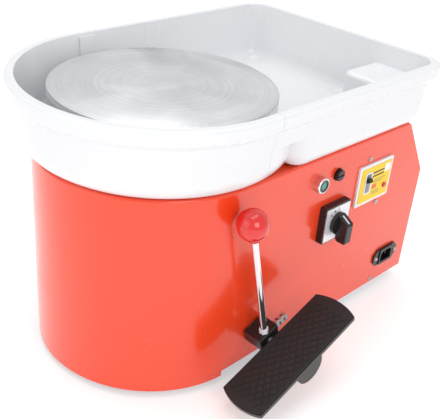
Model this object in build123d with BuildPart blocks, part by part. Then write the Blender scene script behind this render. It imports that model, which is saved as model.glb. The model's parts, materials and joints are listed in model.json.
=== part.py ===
from build123d import *
import math
import os

# Tabletop pottery wheel. Millimetres. The origin is on the spindle axis at floor level,
# +Y runs back to the tool tray, +X points to the control side, +Z is up.

os.makedirs("parts", exist_ok=True)

# ---- driving dimensions ----

run = 0.05  # radial clearance of a shaft in its bore
gap = 0.3  # clearance between bodies that move past each other

# wheel head
head_r = 125.0
head_top_z = 320.0
head_plate_t = 7.0
head_skirt_h = 27.0
head_skirt_t = 6.0
hub_r = 22.0
hub_h = 38.0
rib_t = 5.0
rib_h = 9.0
rib_count = 6

# housing
shell_bottom_z = 10.0
panel_bottom_z = 17.0
deck_top_z = 253.0
half_w = 138.0
front_centre_y = -6.0
skirt_end_y = -15.0
rear_y = 350.0
rear_bend_z = 172.0
deck_rear_y = 295.0
sheet_t = 1.5
bend_r = 3.0
rear_flange_w = 13.0

# basin
wall = 3.0
rim_z = 335.0
rim_out_r = 161.5
wall_top_r = 154.5
wall_foot_r = 149.0
basin_corner_r = 22.0
lip_h = 20.0
tray_front_y = 57.0
tray_rear_y = 305.5
tray_corner_r = 24.0
shelf_z = 296.0
seam_y = 12.0
lap_y = -4.0
collar_r = 31.0
collar_top_z = 285.0
block_x = 62.0
block_y = 238.0
block_top_z = 310.0
block_corner_r = 12.0

# spindle, bearings and drive
spindle_r = 10.0
spindle_bottom_z = 113.0
bearing_r = 21.0
bearing_w = 12.0
upper_bearing_z = 246.0
lower_bearing_z = 158.0
spigot_r = 25.0
spigot_top_z = 262.0
tube_r = 27.0
flange_r = 50.0
flange_t = 8.0
deck_plate_t = 4.0
bolt_circle_r = 39.0
bolt_r = 3.0
pulley_z = 124.0
pulley_w = 18.0
rim_wall = 2.5
belt_t = 3.0
driven_r = 72.0
motor_pulley_r = 14.4
motor_x = -28.0
motor_y = 205.0
motor_r = 42.0
motor_z = 151.0
motor_len = 84.0
motor_shaft_r = 5.0
bracket_t = 4.0

# lever and pedal
lever_y = 33.0
lever_z = 54.0
pedal_tilt = 21.4
rod_tilt = 14.7
lever_shaft_r = 6.0
block_half = 15.0
block_x0 = half_w + 2.5
block_x1 = block_x0 + 25.5
rod_x = block_x1 - 6
rod_r = 4.0
rod_len = 162.0
ball_r = 17.5
pedal_w = 57.0
pedal_x0 = block_x1 + 2
pedal_x1 = pedal_x0 + pedal_w
pedal_len = 174.0
pedal_top = 9.0
tread_t = 2.5
pedal_t = 5.0
end_bow = 7.0
pedal_corner_r = 1.5
boss_r = 20.0
boss_t = 8.0

# speed sensor gears
gear_module = 1.0
sector_teeth = 96
pinion_teeth = 18
gear_x = half_w - 62
gear_t = 6.0
backlash = 0.25

# controls on the +X panel, as (y, z)
switch_at = (153.0, 162.0)
lamp_at = (117.5, 220.5)
fuse_at = (153.0, 222.0)
rcd_at = (232.0, 189.5)
inlet_at = (299.0, 55.0)
switch_size = 48.0
rcd_w = 70.5
rcd_h = 55.5
inlet_w = 54.0
inlet_h = 25.0
inlet_pitch = 44.0
rcd_screw = (15.5, 34.6)

# base
pan_gap = 0.5
pan_t = 2.0
pan_h = 14.0
foot_r = 17.0
foot_at = [(-55, -82), (55, -82), (-84, 110), (84, 110), (-84, 300), (84, 300)]

# ---- planes ----

panel = Plane(origin=(half_w, 0, 0), x_dir=(0, 1, 0), z_dir=(1, 0, 0))
side = Plane.YZ
shell_rear_y = rear_y - sheet_t
deck_under_z = deck_top_z - sheet_t
plate_under_z = deck_under_z - deck_plate_t
basin_z = deck_top_z + gap
tilt_cos = math.cos(math.radians(pedal_tilt))
tilt_sin = math.sin(math.radians(pedal_tilt))
lever_at = (lever_y, lever_z)


def lever_side(x):
    """Plane across the lever shaft at x: local x runs along the pedal, local y off its top."""
    return Plane(origin=(x, lever_y, lever_z), x_dir=(0, tilt_cos, tilt_sin), z_dir=(1, 0, 0))


def across(x, y, z):
    """Plane facing +X at a point: local x is Y, local y is Z."""
    return Plane(origin=(x, y, z), x_dir=(0, 1, 0), z_dir=(1, 0, 0))


def keep(piece, name):
    piece.part.label = name
    export_step(piece.part, f"parts/{name}.step")


# ---- shared shapes ----


def plan(inset, back_y):
    """The housing from above: a half circle in front and straight sides."""
    r = half_w - inset
    with BuildSketch() as sk:
        with BuildLine():
            Line((-r, back_y), (-r, front_centre_y))
            ThreePointArc((-r, front_centre_y), (0, front_centre_y - r), (r, front_centre_y))
            Line((r, front_centre_y), (r, back_y))
            Line((r, back_y), (-r, back_y))
        make_face()
    return sk.sketch


def rear_profile(grow, bottom_z):
    """The housing from the side, its rear outline moved out by grow."""
    front = front_centre_y - half_w - 10
    slope = math.atan2(shell_rear_y - deck_rear_y, deck_top_z - rear_bend_z)
    back = shell_rear_y + grow
    bend_z = rear_bend_z + grow * math.tan(slope / 2)
    top = deck_top_z + min(grow, 0)
    top_y = deck_rear_y + grow / math.cos(slope) - (top - deck_top_z) * math.tan(slope)
    with BuildSketch() as sk:
        with BuildLine():
            Polyline((front, bottom_z), (back, bottom_z), (back, bend_z), (top_y, top), (front, top), close=True)
        make_face()
    return sk.sketch


def housing(inset, bottom_z, edge_r):
    with BuildPart() as block:
        with BuildSketch(Plane.XY.offset(bottom_z)):
            add(plan(inset, shell_rear_y + 20))
        extrude(amount=deck_top_z + 20 - bottom_z)
        with BuildSketch(side):
            add(rear_profile(-inset, bottom_z))
        extrude(amount=half_w + 20, both=True, mode=Mode.INTERSECT)
        fillet(block.faces().sort_by(Axis.Z)[-1].edges(), radius=edge_r)
    return block.part


def screws(plane, points, head_r, head_h, shank_r, shank_len):
    """Pan-head screws with a cross recess, one at each point, driven into the plane."""
    with BuildPart() as group:
        with BuildSketch(plane):
            with Locations(*points):
                Circle(head_r)
        extrude(amount=head_h, taper=12)
        with BuildSketch(plane):
            with Locations(*points):
                Circle(shank_r)
        extrude(amount=-shank_len)
        with BuildSketch(plane.offset(head_h)):
            with Locations(*points):
                Rectangle(head_r * 1.1, head_r * 0.25)
                Rectangle(head_r * 0.25, head_r * 1.1)
        extrude(amount=-head_h * 0.55, mode=Mode.SUBTRACT)
    return group


def flush_screws(plane, points, head_r, shank_r, shank_len):
    """Countersunk screws whose heads lie flush with the plane."""
    with BuildPart() as group:
        with Locations(*[plane.location * Location(p) for p in points]):
            with Locations((0, 0, -(head_r - shank_r) / 2)):
                Cone(shank_r, head_r, head_r - shank_r)
            with Locations((0, 0, -shank_len / 2)):
                Cylinder(shank_r, shank_len)
        with BuildSketch(plane):
            with Locations(*points):
                RegularPolygon(shank_r * 0.7, 6)
        extrude(amount=-1.2, mode=Mode.SUBTRACT)
    return group


def gear(teeth, first, count, bore_r, hub_r_out):
    """A spur gear's face, or a sector of one, with tooth 'first' counted from local +Y."""
    pitch_r = gear_module * teeth / 2
    tip_r = pitch_r + gear_module
    root_r = pitch_r - 1.25 * gear_module
    press = math.radians(20)
    base_r = pitch_r * math.cos(press)

    def half_angle(r):
        a = math.acos(min(1.0, base_r / max(r, base_r)))
        flank = math.tan(press) - press - (math.tan(a) - a)
        return math.pi / (2 * teeth) - backlash / (2 * pitch_r) + flank

    def at(r, angle):
        return (r * math.sin(angle), r * math.cos(angle))

    radii = [root_r - 0.4, max(root_r, base_r), pitch_r, tip_r]
    with BuildSketch() as sk:
        if count == teeth:
            Circle(root_r)
        else:
            start = (first - 0.5) * 2 * math.pi / teeth
            end = (first + count - 0.5) * 2 * math.pi / teeth
            middle = (start + end) / 2
            with BuildLine():
                Line(at(0, 0), at(root_r, start))
                ThreePointArc(at(root_r, start), at(root_r, middle), at(root_r, end))
                Line(at(root_r, end), at(0, 0))
            make_face()
            Circle(hub_r_out)
        for i in range(first, first + count):
            mid = i * 2 * math.pi / teeth
            left = [at(r, mid - half_angle(r)) for r in radii]
            right = [at(r, mid + half_angle(r)) for r in reversed(radii)]
            with BuildLine():
                Polyline(*left, *right, close=True)
            make_face()
        Circle(bore_r, mode=Mode.SUBTRACT)
    return sk.sketch


# ---- housing ----

rcd_body_w = rcd_w - 8.5
rcd_body_h = rcd_h - 9.5
inlet_hole_w = 29.0
inlet_hole_h = 21.0
lamp_r = 8.0
fuse_r = 6.5
switch_neck_r = 11.0
bush_r = 9.0
panel_screw_r = 1.6
deck_screw_r = 2.0
rcd_screws_at = [
    (rcd_at[0] - rcd_screw[0], rcd_at[1] + rcd_screw[1]),
    (rcd_at[0] + rcd_screw[0], rcd_at[1] - rcd_screw[1]),
]
inlet_screws_at = [(inlet_at[0] + s * inlet_pitch / 2, inlet_at[1]) for s in (-1, 1)]
rear_screws_at = [(s * (half_w - 7), z) for s in (-1, 1) for z in (42, 100, 160)]
deck_screws_at = [(s * 98, y) for s in (-1, 1) for y in (-40, 110, 262)]
edge_screws_at = [(70, 23), (275, 23)]

with BuildPart() as body_shell:
    add(housing(0, shell_bottom_z, bend_r))
    add(housing(sheet_t, shell_bottom_z - 20, bend_r - sheet_t), mode=Mode.SUBTRACT)
    # the flat sides stop higher than the curved front
    with BuildSketch(side):
        with Locations((skirt_end_y, panel_bottom_z)):
            Rectangle(shell_rear_y - skirt_end_y + 10, 30, align=(Align.MIN, Align.MAX))
    extrude(amount=half_w + 5, both=True, mode=Mode.SUBTRACT)
    # service opening in the rear, framed by a flange
    with BuildSketch(Plane.XZ.offset(-shell_rear_y - 5)):
        with Locations((0, panel_bottom_z + rear_flange_w)):
            Rectangle(
                2 * (half_w - rear_flange_w),
                deck_top_z - panel_bottom_z - 2 * rear_flange_w,
                align=(Align.CENTER, Align.MIN),
            )
    extrude(amount=80, mode=Mode.SUBTRACT)
    # bearing spigot hole and deck screws
    with BuildSketch(Plane.XY.offset(deck_top_z)):
        Circle(spigot_r + 1)
        with Locations(*deck_screws_at):
            Circle(deck_screw_r)
    extrude(amount=-sheet_t * 2, mode=Mode.SUBTRACT)
    with Locations(*[(x, y, deck_top_z - sheet_t / 2) for x, y in deck_screws_at]):
        Cone(deck_screw_r, deck_screw_r + sheet_t, sheet_t, mode=Mode.SUBTRACT)
    # control openings in the +X panel
    with BuildSketch(panel):
        with Locations(switch_at):
            Circle(switch_neck_r)
        with Locations(lamp_at):
            Circle(lamp_r)
        with Locations(fuse_at):
            Circle(fuse_r)
        with Locations(rcd_at):
            Rectangle(rcd_body_w, rcd_body_h)
        with Locations(inlet_at):
            Rectangle(inlet_hole_w, inlet_hole_h)
        with Locations((lever_y, lever_z)):
            Circle(bush_r)
        with Locations(*rcd_screws_at, *inlet_screws_at):
            Circle(panel_screw_r)
    extrude(amount=-sheet_t * 2, mode=Mode.SUBTRACT)
    with BuildSketch(side):
        with Locations(*edge_screws_at):
            Circle(panel_screw_r)
    extrude(amount=half_w + 5, both=True, mode=Mode.SUBTRACT)
    with BuildSketch(Plane.XZ.offset(-shell_rear_y - 5)):
        with Locations(*rear_screws_at):
            Circle(2)
    extrude(amount=20, mode=Mode.SUBTRACT)
keep(body_shell, "body_shell")

with BuildPart() as rear_panel:
    with BuildSketch(side):
        add(rear_profile(sheet_t, panel_bottom_z))
    extrude(amount=half_w, both=True)
    with BuildSketch(side):
        add(rear_profile(0, panel_bottom_z - 10))
    extrude(amount=half_w + 5, both=True, mode=Mode.SUBTRACT)
    with BuildSketch(Plane.XY.offset(deck_top_z - bend_r)):
        Rectangle(4 * half_w, 4 * rear_y)
    extrude(amount=20, mode=Mode.SUBTRACT)
    with BuildSketch(Plane.XZ.offset(-rear_y - 5)):
        with Locations((0, 100)):
            with GridLocations(44, 12, 4, 6):
                SlotOverall(34, 5)
        with Locations(*rear_screws_at):
            Circle(2)
    extrude(amount=20, mode=Mode.SUBTRACT)
keep(rear_panel, "rear_panel")

rear_plane = Plane(origin=(0, rear_y, 0), x_dir=(-1, 0, 0), z_dir=(0, 1, 0))
rear_screws = screws(rear_plane, rear_screws_at, 3.9, 2.2, 2.0, 8)
keep(rear_screws, "rear_screws")

with BuildPart() as deck_plate:
    with BuildSketch(Plane.XY.offset(plate_under_z)):
        with Locations((0, 100)):
            RectangleRounded(220, 344, 14)
        Circle(spigot_r, mode=Mode.SUBTRACT)
        with Locations(*deck_screws_at):
            Circle(deck_screw_r, mode=Mode.SUBTRACT)
        with PolarLocations(bolt_circle_r, 4, 45):
            Circle(bolt_r, mode=Mode.SUBTRACT)
    extrude(amount=deck_plate_t)
    with PolarLocations(bolt_circle_r, 4, 45):
        with Locations((0, 0, deck_under_z - bolt_r / 2)):
            Cone(bolt_r, 2 * bolt_r, bolt_r, mode=Mode.SUBTRACT)
keep(deck_plate, "deck_plate")

deck_face = Plane.XY.offset(deck_top_z)
deck_screws = flush_screws(deck_face, deck_screws_at, deck_screw_r + sheet_t, deck_screw_r, 8)
keep(deck_screws, "deck_screws")

pan_inset = sheet_t + pan_gap
pan_rear = shell_rear_y - sheet_t - pan_gap

with BuildPart() as base_plate:
    with BuildSketch(Plane.XY.offset(panel_bottom_z)):
        add(plan(pan_inset, pan_rear))
    extrude(amount=pan_h)
    with BuildSketch(Plane.XY.offset(panel_bottom_z + pan_t)):
        add(plan(pan_inset + pan_t, pan_rear - pan_t))
    extrude(amount=pan_h, mode=Mode.SUBTRACT)
    with BuildSketch(Plane.XY.offset(panel_bottom_z)):
        with Locations((motor_x, motor_y)):
            with GridLocations(30, 9, 2, 7):
                SlotOverall(24, 4)
        with Locations(*foot_at):
            Circle(2.5)
    extrude(amount=pan_t, mode=Mode.SUBTRACT)
    with BuildSketch(side):
        with Locations(*edge_screws_at):
            Circle(panel_screw_r)
    extrude(amount=half_w, both=True, mode=Mode.SUBTRACT)
keep(base_plate, "base_plate")

with BuildPart() as rubber_feet:
    with BuildSketch(Plane.XY.offset(panel_bottom_z)):
        with Locations(*foot_at):
            Circle(foot_r)
    extrude(amount=-panel_bottom_z, taper=6)
    with BuildSketch():
        with Locations(*foot_at):
            Circle(6)
    extrude(amount=panel_bottom_z - 5, mode=Mode.SUBTRACT)
    with BuildSketch(Plane.XY.offset(panel_bottom_z)):
        with Locations(*foot_at):
            Circle(2.5)
    extrude(amount=-6, mode=Mode.SUBTRACT)
keep(rubber_feet, "rubber_feet")

foot_plane = Plane(origin=(0, 0, panel_bottom_z - 5), x_dir=(1, 0, 0), z_dir=(0, 0, -1))
foot_screws = screws(foot_plane, [(x, -y) for x, y in foot_at], 4.5, 2.6, 2.5, 12)
keep(foot_screws, "foot_screws")

# ---- basin in two halves ----

wall_lean = math.atan2(wall_top_r - wall_foot_r, rim_z - basin_z)


def wall_at(z):
    """The outer face of the basin wall, measured from the middle, at height z."""
    return wall_foot_r + (z - basin_z) * math.tan(wall_lean)


def basin_form(inset):
    """The basin as a closed form, its wall moved in by inset and its top left high."""
    top_z = rim_z + 5
    foot = wall_foot_r - inset
    bottom_z = basin_z + inset
    with BuildPart() as form:
        # the round bowl
        with BuildSketch(Plane.XZ.offset(-front_centre_y)) as section:
            with BuildLine():
                Polyline(
                    (0, bottom_z), (foot, bottom_z), (wall_at(top_z) - inset, top_z), (0, top_z), close=True
                )
            make_face()
            corner = section.vertices().group_by(Axis.Y)[0].sort_by(Axis.X)[-1]
            fillet(corner, radius=basin_corner_r - inset)
        revolve(axis=Axis((0, front_centre_y, 0), (0, 0, 1)))
        # the shelf that joins the bowl to the tray above the notch
        with BuildSketch(Plane.XZ.offset(-front_centre_y)):
            with BuildLine():
                low_z = shelf_z + inset
                low = wall_at(low_z) - inset
                high = wall_at(top_z) - inset
                Polyline((-low, low_z), (low, low_z), (high, top_z), (-high, top_z), close=True)
            make_face()
        extrude(amount=-(tray_front_y + 40 - front_centre_y))
    # the rectangular tray, its walls leaning out as the bowl's do
    with BuildPart() as tray:
        with BuildSketch(Plane.XY.offset(bottom_z)) as outline:
            with Locations((0, tray_front_y + inset)):
                Rectangle(2 * foot, tray_rear_y - tray_front_y - 2 * inset, align=(Align.CENTER, Align.MIN))
            fillet(outline.vertices(), radius=tray_corner_r - inset)
        extrude(amount=top_z - bottom_z, taper=-math.degrees(wall_lean))
        fillet(tray.faces().sort_by(Axis.Z)[0].edges(), radius=tray_corner_r - inset - 2)
    return form.part + tray.part


def rim_outline(grow):
    """The basin's rim from above, moved out from the wall's outer face by grow."""
    r = wall_at(rim_z) + grow
    back = tray_rear_y + (rim_z - basin_z) * math.tan(wall_lean) + grow
    with BuildSketch() as sk:
        with Locations((0, front_centre_y)):
            Circle(r)
            Rectangle(2 * r, back - front_centre_y, align=(Align.CENTER, Align.MIN))
        fillet(sk.vertices().group_by(Axis.Y)[-1], radius=tray_corner_r + grow)
    return sk.sketch


def slab(y0, y1, z0, z1):
    """A wide block between two planes across the wheel."""
    with BuildPart() as block:
        with BuildSketch(Plane.XY.offset(z0)):
            with Locations((0, y0)):
                Rectangle(4 * half_w, y1 - y0, align=(Align.CENTER, Align.MIN))
        extrude(amount=z1 - z0)
    return block.part


def corner_block(inset):
    """The raised platform in the tray's rear corner on the control side."""
    with BuildPart() as block:
        with BuildSketch(Plane.XY.offset(basin_z)) as sk:
            with Locations((block_x + inset, block_y + inset)):
                Rectangle(120, 120, align=(Align.MIN, Align.MIN))
            fillet(sk.vertices().sort_by(Axis.X)[:2].sort_by(Axis.Y)[0], radius=block_corner_r)
        extrude(amount=block_top_z - inset - basin_z)
        fillet(block.faces().sort_by(Axis.Z)[-1].edges().group_by(Axis.X)[0], radius=block_corner_r / 2)
    return block.part


def keep_out(r, z0, z1):
    """A post on the spindle axis."""
    with BuildPart() as post:
        with BuildSketch(Plane.XY.offset(z0)):
            Circle(r)
        extrude(amount=z1 - z0)
    return post.part


lip_w = rim_out_r - wall_top_r
back_y = tray_rear_y + 40

with BuildPart() as lip:
    with BuildSketch(Plane.XY.offset(rim_z - lip_h)):
        add(rim_outline(lip_w))
    extrude(amount=lip_h)
    chamfer(lip.faces().sort_by(Axis.Z)[0].edges(), length=lip_w - 1.5)
    fillet(lip.faces().sort_by(Axis.Z)[-1].edges(), radius=lip_w / 2)

with BuildPart() as basin:
    add(basin_form(0))
    add(slab(-2 * half_w, back_y, rim_z - 1, rim_z + 20), mode=Mode.SUBTRACT)
    add(lip.part)
    # the space inside, with the corner platform left standing
    add(basin_form(wall) - corner_block(0), mode=Mode.SUBTRACT)
    add(corner_block(wall) & basin_form(wall + 1), mode=Mode.SUBTRACT)
    with BuildSketch(Plane.XY.offset(basin_z)):
        Circle(collar_r)
    extrude(amount=collar_top_z - basin_z)
    with BuildSketch(Plane.XY.offset(basin_z)):
        Circle(collar_r - wall)
    extrude(amount=collar_top_z - basin_z, mode=Mode.SUBTRACT)

with BuildPart() as basin_front:
    add(basin.part)
    add(slab(seam_y, back_y, basin_z - 1, rim_z + 1), mode=Mode.SUBTRACT)
keep(basin_front, "basin_front")

lap_top_z = rim_z - 4
with BuildPart() as basin_rear:
    add(basin.part)
    add(slab(-2 * half_w, seam_y + gap, basin_z - 1, rim_z + 1), mode=Mode.SUBTRACT)
    # a lap strip that runs inside the front half's wall, leaving the collar clear
    lap = basin_form(wall + gap) & slab(lap_y, seam_y + gap, basin_z, lap_top_z)
    root = basin_form(wall) & slab(seam_y + gap, seam_y + 5, basin_z, lap_top_z)
    strip = lap + root - basin_form(wall + 2)
    add(strip - keep_out(collar_r + 2, basin_z - 1, rim_z))
keep(basin_rear, "basin_rear")

# ---- spindle, bearings and wheel head ----

with BuildPart() as bearing_housing:
    with BuildSketch(Plane.XY.offset(lower_bearing_z)):
        Circle(tube_r)
    extrude(amount=plate_under_z - lower_bearing_z)
    with BuildSketch(Plane.XY.offset(plate_under_z - flange_t)):
        Circle(flange_r)
    extrude(amount=flange_t)
    with BuildSketch(Plane.XY.offset(plate_under_z)):
        Circle(spigot_r)
    extrude(amount=spigot_top_z - plate_under_z)
    fillet(bearing_housing.edges().filter_by(GeomType.CIRCLE).sort_by(Axis.Z)[0], radius=2)
    with BuildSketch(Plane.XY.offset(lower_bearing_z - 1)):
        Circle(spindle_r + 3)
    extrude(amount=spigot_top_z, mode=Mode.SUBTRACT)
    with BuildSketch(Plane.XY.offset(lower_bearing_z)):
        Circle(bearing_r)
    extrude(amount=bearing_w, mode=Mode.SUBTRACT)
    with BuildSketch(Plane.XY.offset(upper_bearing_z)):
        Circle(bearing_r)
    extrude(amount=spigot_top_z - upper_bearing_z, mode=Mode.SUBTRACT)
    with PolarLocations(bolt_circle_r, 4, 45):
        with Locations((0, 0, plate_under_z - flange_t / 2)):
            Cylinder(bolt_r, flange_t, mode=Mode.SUBTRACT)
keep(bearing_housing, "bearing_housing")

bolt_spots = [
    (bolt_circle_r * math.cos(math.radians(a)), bolt_circle_r * math.sin(math.radians(a)))
    for a in (45, 135, 225, 315)
]
bolt_len = deck_plate_t + flange_t + 8
with BuildPart() as housing_bolts:
    add(flush_screws(Plane.XY.offset(deck_under_z), bolt_spots, 2 * bolt_r, bolt_r, bolt_len).part)
    with BuildSketch(Plane.XY.offset(plate_under_z - flange_t)):
        with Locations(*bolt_spots):
            RegularPolygon(5, 6, major_radius=False)
            Circle(bolt_r + run, mode=Mode.SUBTRACT)
    extrude(amount=-5)
keep(housing_bolts, "housing_bolts")


def ball_bearing(z, name):
    """A shielded bearing: outer race, shields and inner race in one ring."""
    with BuildPart() as bearing:
        with BuildSketch(Plane.XY.offset(z)):
            Circle(bearing_r)
            Circle(spindle_r + run, mode=Mode.SUBTRACT)
        extrude(amount=bearing_w)
        for face_z, way in ((z, 1), (z + bearing_w, -1)):
            with BuildSketch(Plane.XY.offset(face_z)):
                Circle(bearing_r - 3.5)
                Circle(spindle_r + 3.5, mode=Mode.SUBTRACT)
            extrude(amount=way * 0.8, mode=Mode.SUBTRACT)
    keep(bearing, name)


ball_bearing(lower_bearing_z, "lower_bearing")
ball_bearing(upper_bearing_z, "upper_bearing")

with BuildPart() as dust_seal:
    with BuildSketch(Plane.XY.offset(upper_bearing_z + bearing_w)):
        Circle(bearing_r)
        Circle(spindle_r + run, mode=Mode.SUBTRACT)
    extrude(amount=spigot_top_z - upper_bearing_z - bearing_w)
keep(dust_seal, "dust_seal")

hub_bottom_z = head_top_z - head_plate_t - hub_h
spindle_top_z = head_top_z - head_plate_t - 4
shoulder_z = spigot_top_z + 1
shaft_flat = 1.0
set_screw_r = 4.0
set_screw_z = hub_bottom_z + 12

with BuildPart() as spindle:
    with BuildSketch(Plane.XY.offset(spindle_bottom_z)):
        Circle(spindle_r)
    extrude(amount=spindle_top_z - spindle_bottom_z)
    with BuildSketch(Plane.XY.offset(shoulder_z)):
        Circle(spindle_r + 5)
    extrude(amount=hub_bottom_z - shoulder_z)
    chamfer(spindle.faces().sort_by(Axis.Z)[0].edges(), length=1)
    # flat for the head's set screw
    with BuildSketch(Plane.XY.offset(hub_bottom_z)):
        with Locations((spindle_r - shaft_flat, 0)):
            Rectangle(5, 30, align=(Align.MIN, Align.CENTER))
    extrude(amount=spindle_top_z - hub_bottom_z, mode=Mode.SUBTRACT)
keep(spindle, "spindle")

with BuildPart() as wheel_head:
    with BuildSketch(Plane.XY.offset(head_top_z - head_skirt_h)):
        Circle(head_r)
    extrude(amount=head_skirt_h)
    with BuildSketch(Plane.XY.offset(head_top_z - head_skirt_h)):
        Circle(head_r - head_skirt_t)
    extrude(amount=head_skirt_h - head_plate_t, taper=6, mode=Mode.SUBTRACT)
    with BuildSketch(Plane.XY.offset(head_top_z - head_plate_t)):
        Circle(hub_r)
        with PolarLocations(0, rib_count):
            with Locations((head_r / 2, 0)):
                Rectangle(head_r - head_skirt_t, rib_t)
    extrude(amount=-rib_h)
    with BuildSketch(Plane.XY.offset(hub_bottom_z)):
        Circle(hub_r)
    extrude(amount=hub_h)
    with BuildSketch(Plane.XY.offset(hub_bottom_z)):
        Circle(spindle_r)
    extrude(amount=spindle_top_z - hub_bottom_z, mode=Mode.SUBTRACT)
    rim_edge = wheel_head.faces().sort_by(Axis.Z)[-1].edges()
    chamfer(rim_edge, length=1.6)
    with BuildSketch(across(0, 0, set_screw_z)):
        Circle(set_screw_r)
    extrude(amount=hub_r + 1, mode=Mode.SUBTRACT)
keep(wheel_head, "wheel_head")

with BuildPart() as head_set_screw:
    with BuildSketch(across(spindle_r - shaft_flat, 0, set_screw_z)):
        Circle(set_screw_r)
    extrude(amount=hub_r - spindle_r)
    with BuildSketch(across(hub_r - shaft_flat, 0, set_screw_z)):
        RegularPolygon(2.3, 6)
    extrude(amount=-4, mode=Mode.SUBTRACT)
keep(head_set_screw, "head_set_screw")

# ---- belt drive ----


def pulley(x, y, r, hub_r_out, z0, z1):
    """A flat pulley with two flanges and a hub from z0 to z1; its belt runs at radius r."""
    with BuildPart() as wheel:
        with BuildSketch(Plane((x, y, pulley_z))):
            Circle(r + belt_t + 1)
        extrude(amount=pulley_w)
        with BuildSketch(Plane((x, y, pulley_z + rim_wall))):
            Circle(r + belt_t + 2)
            Circle(r, mode=Mode.SUBTRACT)
        extrude(amount=pulley_w - 2 * rim_wall, mode=Mode.SUBTRACT)
        with BuildSketch(Plane((x, y, z0))):
            Circle(hub_r_out)
        extrude(amount=z1 - z0)
    return wheel.part


driven_hub_r = 15.0
driven_hub_top = lower_bearing_z - gap

with BuildPart() as driven_pulley:
    add(pulley(0, 0, driven_r, driven_hub_r, pulley_z, driven_hub_top))
    with BuildSketch(Plane.XY.offset(pulley_z)):
        Circle(spindle_r)
    extrude(amount=driven_hub_top - pulley_z, mode=Mode.SUBTRACT)
    # lightening holes between the hub and the rim
    with BuildSketch(Plane.XY.offset(pulley_z)):
        with PolarLocations((driven_r + driven_hub_r) / 2, 6):
            Circle((driven_r - driven_hub_r) / 2 - 11)
    extrude(amount=pulley_w, mode=Mode.SUBTRACT)
keep(driven_pulley, "driven_pulley")

with BuildPart() as pulley_nut:
    with BuildSketch(Plane.XY.offset(pulley_z)):
        RegularPolygon(15, 6, major_radius=False)
        Circle(spindle_r, mode=Mode.SUBTRACT)
    extrude(amount=-8)
keep(pulley_nut, "pulley_nut")

with BuildPart() as motor_pulley:
    add(pulley(motor_x, motor_y, motor_pulley_r, 10, pulley_z - 6, pulley_z + pulley_w))
    with BuildSketch(Plane((motor_x, motor_y, pulley_z - 6))):
        Circle(motor_shaft_r)
    extrude(amount=pulley_w + 6, mode=Mode.SUBTRACT)
keep(motor_pulley, "motor_pulley")

with BuildPart() as drive_belt:
    belt_z = pulley_z + rim_wall + gap
    with BuildSketch(Plane.XY.offset(belt_z)):
        Circle(driven_r + gap + belt_t)
        with Locations((motor_x, motor_y)):
            Circle(motor_pulley_r + gap + belt_t)
        make_hull()
    extrude(amount=pulley_w - 2 * rim_wall - 2 * gap)
    with BuildSketch(Plane.XY.offset(belt_z)):
        Circle(driven_r + gap)
        with Locations((motor_x, motor_y)):
            Circle(motor_pulley_r + gap)
        make_hull()
    extrude(amount=pulley_w, mode=Mode.SUBTRACT)
keep(drive_belt, "drive_belt")

motor_plane = Plane((motor_x, motor_y, motor_z))
motor_bolt_spots = [(s * 22, t * 22) for s in (-1, 1) for t in (-1, 1)]

with BuildPart() as motor_can:
    with BuildSketch(motor_plane):
        Circle(motor_r)
    extrude(amount=motor_len)
    fillet(motor_can.faces().sort_by(Axis.Z)[-1].edges(), radius=5)
    # cooling fins round the can
    with BuildSketch(motor_plane.offset(14)):
        with PolarLocations(motor_r, 24):
            Rectangle(5, 4)
    extrude(amount=motor_len - 28, mode=Mode.SUBTRACT)
    with BuildSketch(motor_plane):
        Circle(motor_shaft_r + run)
    extrude(amount=motor_len * 0.6, mode=Mode.SUBTRACT)
    with BuildSketch(motor_plane):
        with Locations(*motor_bolt_spots):
            Circle(2.5)
    extrude(amount=8, mode=Mode.SUBTRACT)
keep(motor_can, "motor_can")

with BuildPart() as motor_shaft:
    with BuildSketch(motor_plane.offset(motor_len * 0.6 - gap)):
        Circle(motor_shaft_r)
    extrude(amount=pulley_z - 8 - motor_z - motor_len * 0.6 + gap)
keep(motor_shaft, "motor_shaft")

bracket_half = motor_r + 8

with BuildPart() as motor_bracket:
    with BuildSketch(motor_plane):
        Rectangle(2 * bracket_half, 2 * bracket_half)
        Circle(14, mode=Mode.SUBTRACT)
        with Locations(*motor_bolt_spots):
            Circle(2.5, mode=Mode.SUBTRACT)
    extrude(amount=-bracket_t)
    for s in (-1, 1):
        with BuildSketch(motor_plane.offset(-bracket_t)):
            with Locations((s * (bracket_half - bracket_t / 2), 0)):
                Rectangle(bracket_t, 2 * bracket_half)
        extrude(amount=plate_under_z - motor_z + bracket_t)
        with BuildSketch(Plane((motor_x, motor_y, plate_under_z))):
            with Locations((s * (bracket_half + 9), 0)):
                Rectangle(18 + 2 * bracket_t, 2 * bracket_half)
        extrude(amount=-bracket_t)
keep(motor_bracket, "motor_bracket")

motor_under = Plane(origin=(motor_x, motor_y, motor_z - bracket_t), x_dir=(1, 0, 0), z_dir=(0, 0, -1))
motor_bolts = screws(motor_under, motor_bolt_spots, 4.5, 3.0, 2.5, bracket_t + 8)
keep(motor_bolts, "motor_bolts")

# ---- speed controller on the base plate ----

board_z = panel_bottom_z + pan_t + 8
board_x = -60.0
board_y = 60.0
board_w = 80.0
board_l = 120.0
board_plane = Plane((board_x, board_y, board_z))
post_spots = [(s * (board_w / 2 - 6), t * (board_l / 2 - 6)) for s in (-1, 1) for t in (-1, 1)]

with BuildPart() as controller_board:
    with BuildSketch(board_plane):
        Rectangle(board_w, board_l)
        with Locations(*post_spots):
            Circle(1.6, mode=Mode.SUBTRACT)
    extrude(amount=1.6)
keep(controller_board, "controller_board")

board_top = board_plane.offset(1.6)
with BuildPart() as board_posts:
    with BuildSketch(Plane((board_x, board_y, panel_bottom_z + pan_t))):
        with Locations(*post_spots):
            RegularPolygon(3.2, 6)
    extrude(amount=8)
    add(screws(board_top, post_spots, 2.8, 1.8, 1.6, 1.6).part)
keep(board_posts, "board_posts")

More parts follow.
